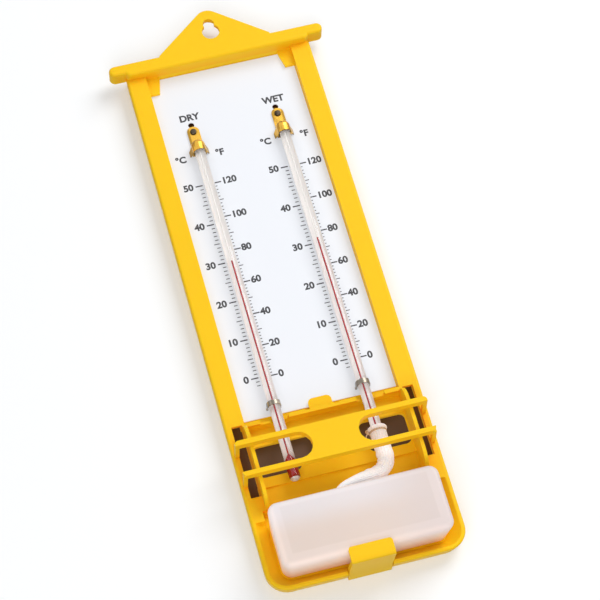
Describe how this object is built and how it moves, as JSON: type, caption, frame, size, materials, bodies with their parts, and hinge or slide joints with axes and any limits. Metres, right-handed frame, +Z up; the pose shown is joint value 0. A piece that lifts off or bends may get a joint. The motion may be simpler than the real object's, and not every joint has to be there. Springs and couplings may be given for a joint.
{
  "type": "wet and dry bulb hygrometer",
  "caption": "Wall-hung wet and dry bulb hygrometer: spirit thermometers on a printed plate in a yellow moulded case, with bulb guard, cotton wick and clipped-in water reservoir.",
  "frame": {"origin": "middle of the reservoir tray's flat back, on the wall plane", "axes": "+Z up along the thermometers, the scale faces -Y, +X to the right as seen from the front"},
  "size_m": [0.117, 0.0308, 0.3308],
  "materials": {
    "yellow_plastic": "satin moulded yellow",
    "white_plate": "smooth white with black print",
    "milky_plastic": "translucent milky",
    "water": "clear water",
    "clear_glass": "polished clear",
    "red_spirit": "clear red spirit",
    "brass_strip": "bright",
    "dark_screw": "darkened",
    "plated_steel": "bright plated",
    "white_cotton": "knitted cotton",
    "tan_thread": "twisted thread"
  },
  "bodies": {
    "case_body": {"case": "yellow_plastic", "bulb_guard": "yellow_plastic", "scale_plate": "white_plate", "dry_glass_stem": "clear_glass", "dry_bulb_spirit": "red_spirit", "dry_top_clip": "brass_strip", "dry_clip_screw": "dark_screw", "dry_saddle": "plated_steel", "wet_glass_stem": "clear_glass", "wet_bulb_spirit": "red_spirit", "wet_top_clip": "brass_strip", "wet_clip_screw": "dark_screw", "wet_saddle": "plated_steel", "wick": "white_cotton", "wick_tie": "tan_thread"},
    "reservoir_body": {"reservoir": "milky_plastic", "reservoir_water": "water"},
    "clip_body": {"reservoir_clip": "yellow_plastic"},
    "dry_column_body": {"dry_spirit_column": "red_spirit"},
    "wet_column_body": {"wet_spirit_column": "red_spirit"}
  },
  "joints": [
    {"name": "reservoir_tip", "type": "hinge", "parent": "case_body", "child": "reservoir_body", "pos_m": [0, -0.0283, -0.017], "axis": [1, 0, 0], "range_deg": [0, 9], "deforming": ["wick"]},
    {"name": "clip_flex", "type": "hinge", "parent": "case_body", "child": "clip_body", "pos_m": [0, -0.0022, -0.0187], "axis": [1, 0, 0], "range_deg": [0, 9], "stiffness_Nm_per_rad": 0.6},
    {"name": "dry_column_rise", "type": "slide", "parent": "case_body", "child": "dry_column_body", "axis": [0, 0, 1], "range_m": [-0.077, 0.0497], "deforming": ["dry_spirit_column"]},
    {"name": "wet_column_rise", "type": "slide", "parent": "case_body", "child": "wet_column_body", "axis": [0, 0, 1], "range_m": [-0.079, 0.0477], "deforming": ["wet_spirit_column"]}
  ],
  "couplings": [
    {"joint": "clip_flex", "follows": "reservoir_tip", "ratio": 0.9}
  ]
}
